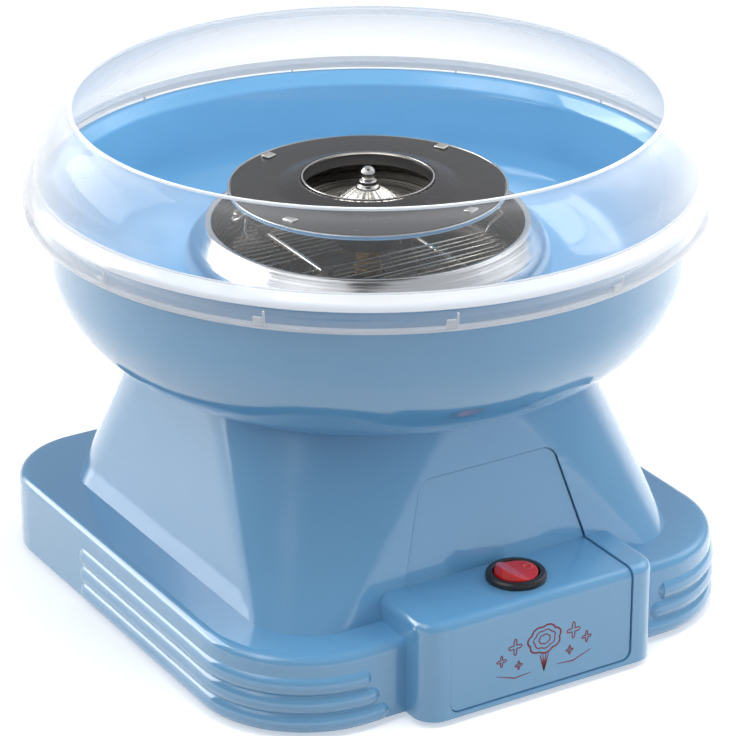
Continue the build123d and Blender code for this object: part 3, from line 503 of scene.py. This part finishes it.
def collecting_bowl():
    cx, cz = BOWL_CENTRE
    rx, rz = BOWL_R
    start = -degrees(acos((BOWL_HOLE_R - cx) / rx))
    outer = arc(cx, cz, rx, rz, start, 0, BOWL_STEPS)
    wall = rounded([
        outer[-1], (cx + rx + 0.4, BOWL_RIM_Z - 7),
        (BOWL_LIP_R, BOWL_RIM_Z - 2.4), (BOWL_LIP_R, BOWL_RIM_Z), (cx + rx + 0.9, BOWL_RIM_Z),
        (cx + rx - BOWL_WALL + 0.4, BOWL_RIM_Z - 5), (cx + rx - BOWL_WALL, cz),
    ], [0, 4, 1.0, 1.0, 1.5, 4, 0])
    irx, irz = rx - BOWL_WALL, rz - BOWL_WALL
    start_in = -degrees(acos((BOWL_HOLE_R + COLLAR_THICK - cx) / irx))
    inner = arc(cx, cz, irx, irz, 0, start_in, BOWL_STEPS)
    collar_top = cz - rz + COLLAR_HIGH
    collar = rounded([
        inner[-1], (BOWL_HOLE_R + COLLAR_THICK, collar_top), (BOWL_HOLE_R, collar_top), outer[0],
    ], [0, 0.8, 0.8, 0])
    section = outer + wall[1:] + inner[1:] + collar[1:-1]
    bowl = lathe("bowl_shell", section, "bowl", "blue_plastic", BLUE)
    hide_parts("collecting_bowl")


# ---------------------------------------------------------------- splash guard

GUARD_WALL = 2.0
GUARD_TOP = 200.2
GUARD_MOUTH_R = 112.4
GUARD_FLANGE = [
    (129.2, 158.7), (130.9, 161.6), (131.45, 165.0), (130.2, 169.6), (127.4, 172.9),
]
GUARD_SIDE = [
    (126.9, 173.6), (126.0, 176.2), (124.6, 182.6), (121.5, 189.7), (117.4, 195.7), (113.8, 199.0),
]
FOLD_Z = 167.6
EDGE_END = 6
CLIP_COUNT = 12
FIRST_CLIP = -108.4


def splash_guard():
    mouth_bead = arc(GUARD_MOUTH_R + 0.2, GUARD_TOP - 1.2, 1.15, 1.15, 50, 230, 8)
    inner_side = beside(flowing(GUARD_SIDE), GUARD_WALL)[::-1]
    wall = flowing(GUARD_SIDE) + mouth_bead + inner_side[2:] + [(125.2, 171.6)]
    guard = lathe("guard_wall", wall, "guard", "clear_plastic", CLEAR)
    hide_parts("splash_guard")
    bead = arc(GUARD_MOUTH_R + 0.2, GUARD_TOP - 0.7, 0.7, 0.7, 0, 345, 23)
    lathe("guard_mouth_bead", bead, "guard", "clear_plastic", MILKY)
    outer = flowing(GUARD_FLANGE, steps=9)
    inner = beside(outer, GUARD_WALL)
    fold = next(i for i, (r, z) in enumerate(outer) if z > FOLD_Z)
    shoulder = outer[fold:] + [(125.4, 173.4), (125.2, 171.4)] + inner[fold:-2][::-1]
    lathe("guard_flange", shoulder, "guard", "clear_plastic", MILKY)
    skirt = outer[EDGE_END - 1:fold + 1] + inner[EDGE_END - 1:fold + 1][::-1]
    lathe("guard_skirt", skirt, "guard", "clear_plastic", CLEAR)
    foot = rounded([outer[0], outer[EDGE_END], inner[EDGE_END], inner[0]], [0.7], closed=True)
    lathe("guard_skirt_edge", foot, "guard", "clear_plastic", MILKY)
    clips = []
    for i in range(CLIP_COUNT):
        angle = FIRST_CLIP + 360.0 * i / CLIP_COUNT
        clips.append(soft_block((0.9, 3.6, 3.4), 0.3, polar(130.55, angle, 162.6, 12)))
        clips.append(soft_block((1.0, 0.8, 6.4), 0.3, polar(130.6, angle + 1.0, 163.6, 8)))
    piece("guard_clips", *joined(clips), "guard", "clear_plastic", MILKY)


# ----------------------------------------------------------- shield and heater

SHIELD_FLOOR_Z = 128.5
SHIELD_THICK = 0.8
DECK_TOP = 96.6
LINING_STEPS = 4


def heat_shield():
    """The polished outside and rim, and inside them a darker brown-grey lining."""
    path = rounded([
        (69.7, DECK_TOP), (70.7, 141.8), (60.3, 154.0),
        (56.6, SHIELD_FLOOR_Z), (7.0, SHIELD_FLOOR_Z),
    ], [0, 14, 1.6, 8, 0], steps=12)
    crest = max(range(len(path)), key=lambda i: path[i][1])
    turn = crest + LINING_STEPS
    outside = lathe("heat_dish", skin(path[:turn + 1], SHIELD_THICK),
                    "housing", "polished_aluminium", ALUMINIUM)
    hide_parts("heat_shield")
    inside = lathe("heat_dish_lining", skin(path[turn:], SHIELD_THICK),
                   "housing", "polished_aluminium", DARK_LINING)
    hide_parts("heat_shield")


HEATER_Z = 137.0
WIRE_SPAN_R = 52.5
WIRE_FIRST_Y = -46.4
WIRE_LAST_Y = 46.5
WIRE_PITCH = 3.65
WIRE_STEPS = 14
POST_GAP = 5.5
# Share of the heater wires drawn with the painted glint.
GLINT_SHARE = 0.35
WIRE_R = 0.42
GLINT_WIRE_R = 0.5
ROD_R = 1.05
LOOP_R = 0.75
LOOP_STEPS = 24


def heater():
    """Fine resistance wires across the dish, with their cross rods and end loops."""
    chance = Random(7)
    fine, glinting = [], []
    y = WIRE_FIRST_Y
    while y < WIRE_LAST_Y:
        half = sqrt(WIRE_SPAN_R ** 2 - y * y)
        slant = chance.uniform(-1.2, 1.2)
        drop = chance.uniform(0.2, 1.1)
        line = []
        for k in range(WIRE_STEPS + 1):
            t = k / WIRE_STEPS
            sag = 4 * t * (1 - t) * drop
            line.append((-half + 2 * half * t, y + slant * (t - 0.5), HEATER_Z + 0.6 - sag))
        if abs(y) > POST_GAP:
            (glinting if chance.random() < GLINT_SHARE else fine).append(line)
        y += WIRE_PITCH
    wires = tubes("heater_runs", fine, WIRE_R, "housing", "heater_alloy", HEAT_ALLOY)
    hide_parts("heater_wires")
    # Painted highlight: these wires are the same alloy as the rest, drawn thicker in a paler,
    # glossier metal so that they glint.
    glinting_wires = tubes("heater_runs_painted_glint", glinting, GLINT_WIRE_R,
                    "housing", "heater_alloy", BRIGHT_STEEL_AND_GLINT)
    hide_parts("heater_wires")
    rods = [
        [(-26.0, 50.5, 138.9), (-26.0, 30.0, 138.8), (-26.0, 8.0, 138.7), (-26.2, -14.5, 138.6)],
        [(26.0, -50.0, 135.3), (26.0, -20.0, 135.3), (26.0, 15.0, 135.3)],
    ]
    bars = tubes("heater_rods", rods, ROD_R, "housing", "polished_steel", BRIGHT_STEEL_AND_GLINT)
    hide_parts("heater_bars")
    loops = []
    for x, y, spin in ((-36.0, 36.0, 20), (52.0, -9.0, -35)):
        line = []
        for k in range(LOOP_STEPS + 1):
            a = radians(spin + 540.0 * k / LOOP_STEPS)
            reach = 3.4 - 1.4 * k / LOOP_STEPS
            z = 145.6 + 3.4 * k / LOOP_STEPS - 0.6 * cos(2 * a)
            line.append((x + reach * cos(a), y + 0.8 * reach * sin(a), z))
        loops.append(line)
        loops.append([line[0], (x * 0.97, y * 0.97, 141.0), (x * 0.93, y * 0.93, 137.6)])
    tubes("heater_end_loops", loops, LOOP_R, "housing", "polished_steel", BRIGHT_STEEL_AND_GLINT)


# ---------------------------------------------------------------- spinner head

HEAD_TOP = 165.6
TAB_ANGLES = (22.0, 112.0, 202.0, 292.0)
CREASES = 18
CREASE_DEPTH = 0.28
CREASE_R = 12.0
CREASE_REACH = 9.0


def ball_nut():
    section = rounded([
        (0.0, 163.8), (4.8, 163.8), (4.4, 164.9), (3.5, 165.6), (3.4, 167.0), (2.1, 167.5),
    ], [0, 0.3, 0.6, 0.5, 0.4, 0], steps=4)
    ball = arc(0.0, 169.7, 2.9, 2.9, -44, 90, 18)
    nut = lathe("head_ball_nut", section + ball, "spinner_head", "polished_steel", BRIGHT,
                segments=64)
    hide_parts("spinner_ball_nut")


def spinner_head():
    disc = rounded([
        (52.3, HEAD_TOP - 0.9), (52.3, HEAD_TOP), (34.8, HEAD_TOP), (25.6, 168.9),
        (24.8, 163.7), (25.7, 163.7), (26.4, 167.4), (34.6, HEAD_TOP - 0.9),
    ], [0.2, 0.35, 8, 1.6, 0.3, 0.3, 0.8, 6], steps=6, closed=True)
    top = lathe("head_top_disc", disc, "spinner_head", "coated_steel", DISC_COAT)
    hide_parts("spinner_top_disc")
    hole = rounded([
        (25.5, 168.1), (25.5, 168.9), (24.8, 168.9), (24.8, 168.1),
    ], [0.2], closed=True)
    lathe("head_hole_ring", hole, "spinner_head", "polished_steel", BRIGHT)
    line = flowing([
        (3.7, 164.6), (7.0, 162.6), (12.5, 158.6), (18.5, 156.6), (25.0, 156.9), (33.0, 159.4),
        (40.5, 162.6), (46.5, 164.2), (53.3, 164.5),
    ])
    verts, faces = lathe_mesh(skin(line, -0.8), 288)
    creased = []
    for x, y, z in verts:
        r = hypot(x, y) / MM
        deep = max(0.0, 1 - abs(r - CREASE_R) / CREASE_REACH)
        creased.append((x, y, z + CREASE_DEPTH * MM * deep * cos(CREASES * atan2(y, x))))
    pan = weld(piece("head_pan", creased, faces, "spinner_head", "polished_steel", PAN_STEEL_PAINTED_LIGHT))
    shade(pan.data)
    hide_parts("spinner_pan")
    rim = rounded([(52.6, 164.1), (53.6, 164.3), (53.6, 165.4), (52.7, 165.5)], [0.4], closed=True)
    lathe("head_pan_rim", rim, "spinner_head", "polished_steel", BRIGHT)
    tabs = []
    for angle in TAB_ANGLES:
        tabs.append(soft_block((3.6, 4.8, 0.8), 0.3, polar(48.1, angle, 166.2, -5)))
        tabs.append(soft_block((0.9, 4.8, 2.0), 0.3, polar(49.6, angle, 165.4)))
    bent = piece("head_tabs", *joined(tabs), "spinner_head", "polished_steel", BRIGHT_STEEL_AND_GLINT)
    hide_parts("spinner_crimp_tabs")
    ball_nut()


# --------------------------------------------------------------------- switch

SWITCH = (1.7, -103.5)
ROCKER_PIVOT_Z = 44.0
ROCKER_R = 8.5
ROCKER_TILT = 10.0
ROCKER_SMOOTH = 50


def switch():
    section = rounded([
        (8.9, 43.8), (8.9, 45.0), (9.5, 45.2), (11.0, 45.1), (11.5, 44.2), (11.5, 42.4),
        (10.0, 42.3), (10.0, 27.0), (0.0, 27.0), (0.0, 35.3), (5.5, 36.9),
    ], [0.3, 0.3, 0.4, 0.5, 0.4, 0.2, 0.1, 0.6, 0, 0, 1.0], closed=True)
    body = lathe("switch_bezel", section, "housing", "black_plastic", BLACK,
                 segments=96, centre=SWITCH)
    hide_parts("switch_body")
    rings, sides = 12, 72
    tilt = Matrix.Rotation(radians(ROCKER_TILT), 4, "Y")
    place = Matrix.Translation((*SWITCH, ROCKER_PIVOT_Z)) @ tilt

    def top(x):
        """Height of the rocker's face, dished towards the middle."""
        return 1.15 + 2.25 * abs(x / ROCKER_R) ** 1.35

    verts, faces = [], []
    profile = [(i / rings, 0.0) for i in range(rings)] + [(0.985, -0.25), (1.0, -0.7)]
    for share, drop in profile:
        for k in range(sides):
            a = 2 * pi * k / sides
            ball = sqrt(ROCKER_R ** 2 - top(ROCKER_R * cos(a)) ** 2)
            x, y = share * ball * cos(a), share * ball * sin(a)
            verts.append((x, y, top(x) + drop))
    for level in (0.0, -2.0, -4.0):
        for k in range(sides):
            a = 2 * pi * k / sides
            reach = sqrt(ROCKER_R ** 2 - level ** 2)
            verts.append((reach * cos(a), reach * sin(a), level))
    total = len(profile) + 3
    for i in range(total - 1):
        for k in range(sides):
            j = (k + 1) % sides
            here, there = i * sides, (i + 1) * sides
            faces.append((here + k, there + k, there + j, here + j))
    faces.append(tuple(range((total - 1) * sides, total * sides)))
    verts = [tuple((place @ Vector(v)) * MM) for v in verts]
    rocker = weld(piece("rocker_cap", verts, faces, "rocker", "red_plastic", RED))
    shade(rocker.data, ROCKER_SMOOTH)
    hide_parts("switch_rocker")
    ring = [(5.0 + 1.5 * cos(2 * pi * k / 32), 1.9 * sin(2 * pi * k / 32)) for k in range(32)]
    on_face = [tuple(place @ Vector((x, y, top(x) + 0.02))) for x, y in ring]
    mark = tube(on_face, 0.16, 6, closed=True)
    piece("rocker_ring_mark", *mark, "rocker", "red_plastic", MARK_LIGHT)


# ---------------------------------------------------------------- front emblem

EMBLEM_AT = (3.0, -121.28, 20.5)
LINE_WIDTH = 0.75
THIN_WIDTH = 0.5


def emblem():
    """A printed sign on the box front: spun sugar on a stick among sparkles."""
    place = Matrix.Translation(EMBLEM_AT) @ Matrix.Rotation(radians(90), 4, "X")
    strokes = []
    for scale, width in ((1.0, LINE_WIDTH), (0.66, THIN_WIDTH), (0.34, THIN_WIDTH)):
        cloud = []
        for k in range(112):
            a = 2 * pi * k / 112
            lobe = scale * (1.0 + 0.14 * abs(sin(3.5 * a + 0.4 * scale)))
            cloud.append((6.6 * lobe * cos(a), 3.6 + 5.2 * lobe * sin(a)))
        strokes.append(ribbon(cloud, width, place, closed=True))
    for reach in (-1.9, -0.65, 0.65, 1.9):
        stick = [(reach, -2.6), (0.45 * reach, -6.4), (0.0, -9.8)]
        strokes.append(ribbon(stick, LINE_WIDTH, place))
    for side in (-1, 1):
        for x, z, size in ((13.0, 3.8, 3.0), (19.0, -0.6, 2.1), (11.4, -4.2, 1.6)):
            spark = []
            for k in range(48):
                a = 2 * pi * k / 48
                reach = size * (0.3 + 0.7 * abs(cos(2 * a)) ** 3)
                spark.append((side * x + reach * cos(a), z + 1.15 * reach * sin(a)))
            strokes.append(ribbon(spark, THIN_WIDTH, place, closed=True))
        ground = [(side * 6.0, -8.6), (side * 13.0, -9.2), (side * 21.0, -6.4)]
        strokes.append(ribbon(ground, 0.55, place))
    piece("front_emblem", *joined(strokes), "housing", "red_plastic", MARK)


# ---------------------------------------------------------------------- studio

AIM = (0, 0, 0.1)
REAR_AIM = (0, 0, 0.12)
FLOOR_HALF = 6.0


def area_light(name, location, target, size, power, mirrored=True, lighting=True):
    light = bpy.data.lights.new(name, "AREA")
    light.shape = "RECTANGLE"
    light.size, light.size_y = size
    light.energy = power
    obj = bpy.data.objects.new(name, light)
    obj.location = location
    towards = Vector(target) - Vector(location)
    obj.rotation_euler = towards.to_track_quat("-Z", "Y").to_euler()
    obj.visible_glossy = mirrored
    obj.visible_diffuse = lighting
    obj.visible_camera = False
    bpy.context.scene.collection.objects.link(obj)


def split_light(name, location, glow, sheen):
    """A square light in two: one part lights the surfaces, the other is mirrored in them."""
    area_light(name, location, AIM, (1.0, 1.0), glow, mirrored=False)
    area_light(name + "_sheen", location, AIM, (1.0, 1.0), sheen, lighting=False)


def dark_card(name, outline):
    """A black card that only mirrors see: it takes glare off a side of the object."""
    mesh = bpy.data.meshes.new(name)
    mesh.from_pydata(outline, [], [(0, 1, 2, 3)])
    mesh.materials.append(CARD_BLACK)
    card = bpy.data.objects.new(name, mesh)
    card.visible_camera = False
    card.visible_diffuse = False
    card.visible_shadow = False
    card.visible_transmission = False
    bpy.context.scene.collection.objects.link(card)


def studio():
    floor_paint = Paint("studio_floor", (0.80, 0.80, 0.805), 0.6)
    floor_paint.bump(floor_paint.noise(40.0), 0.02, 0.001)
    floor_paint.shader.inputs["Emission Color"].default_value = (1, 1, 1, 1)
    floor_paint.shader.inputs["Emission Strength"].default_value = 0.40
    mesh = bpy.data.meshes.new("floor")
    corners = [(x * FLOOR_HALF, y * FLOOR_HALF, 0) for x, y in ((-1, -1), (1, -1), (1, 1), (-1, 1))]
    mesh.from_pydata(corners, [], [(0, 1, 2, 3)])
    mesh.materials.append(floor_paint.material)
    floor = bpy.data.objects.new("floor", mesh)
    bpy.context.scene.collection.objects.link(floor)
    floor.visible_diffuse = False
    world = bpy.data.worlds.new("studio_world")
    world.use_nodes = True
    sky = world.node_tree.nodes["Background"]
    sky.inputs["Color"].default_value = (0.93, 0.96, 1.0, 1)
    sky.inputs["Strength"].default_value = 0.50
    bpy.context.scene.world = world
    split_light("top_left", (-1.15, -0.05, 1.25), 6, 42)
    split_light("top_right", (1.25, -0.05, 1.05), 6, 42)
    area_light("fill_right", (1.0, -1.0, 0.35), AIM, (1.0, 0.7), 6, mirrored=False)
    area_light("inner_bowl", (-0.02, -0.10, 0.62), (0, 0.05, 0.12), (0.3, 0.3), 3.0,
               mirrored=False)
    area_light("rear_left", (-1.05, 1.35, 0.45), REAR_AIM, (1.4, 0.9), 7)
    area_light("rear_left_sheen", (-1.1, 1.25, 0.95), REAR_AIM, (1.3, 1.3), 22, lighting=False)
    dark_card("dark_card_above", [
        (-0.55, -0.7, 1.35), (0.25, -0.7, 1.35), (0.25, 0.05, 1.35), (-0.55, 0.05, 1.35),
    ])


CAMERA_LENS = 168.26
CAMERA_BACK = (-0.4734, -0.7795, 0.4102)
CAMERA_TARGET = (0, 0, 0.0884)
CAMERA_DISTANCE = 1.343


def camera():
    data = bpy.data.cameras.new("camera")
    data.sensor_width = 36.0
    data.lens = CAMERA_LENS
    obj = bpy.data.objects.new("camera", data)
    back = Vector(CAMERA_BACK).normalized()
    obj.location = Vector(CAMERA_TARGET) + back * CAMERA_DISTANCE
    obj.rotation_euler = (-back).to_track_quat("-Z", "Y").to_euler()
    bpy.context.scene.collection.objects.link(obj)
    bpy.context.scene.camera = obj
    bpy.context.scene.view_settings.view_transform = "Standard"


paint_cad_nodes()
collecting_bowl()
splash_guard()
heat_shield()
heater()
spinner_head()
switch()
emblem()
studio()
camera()
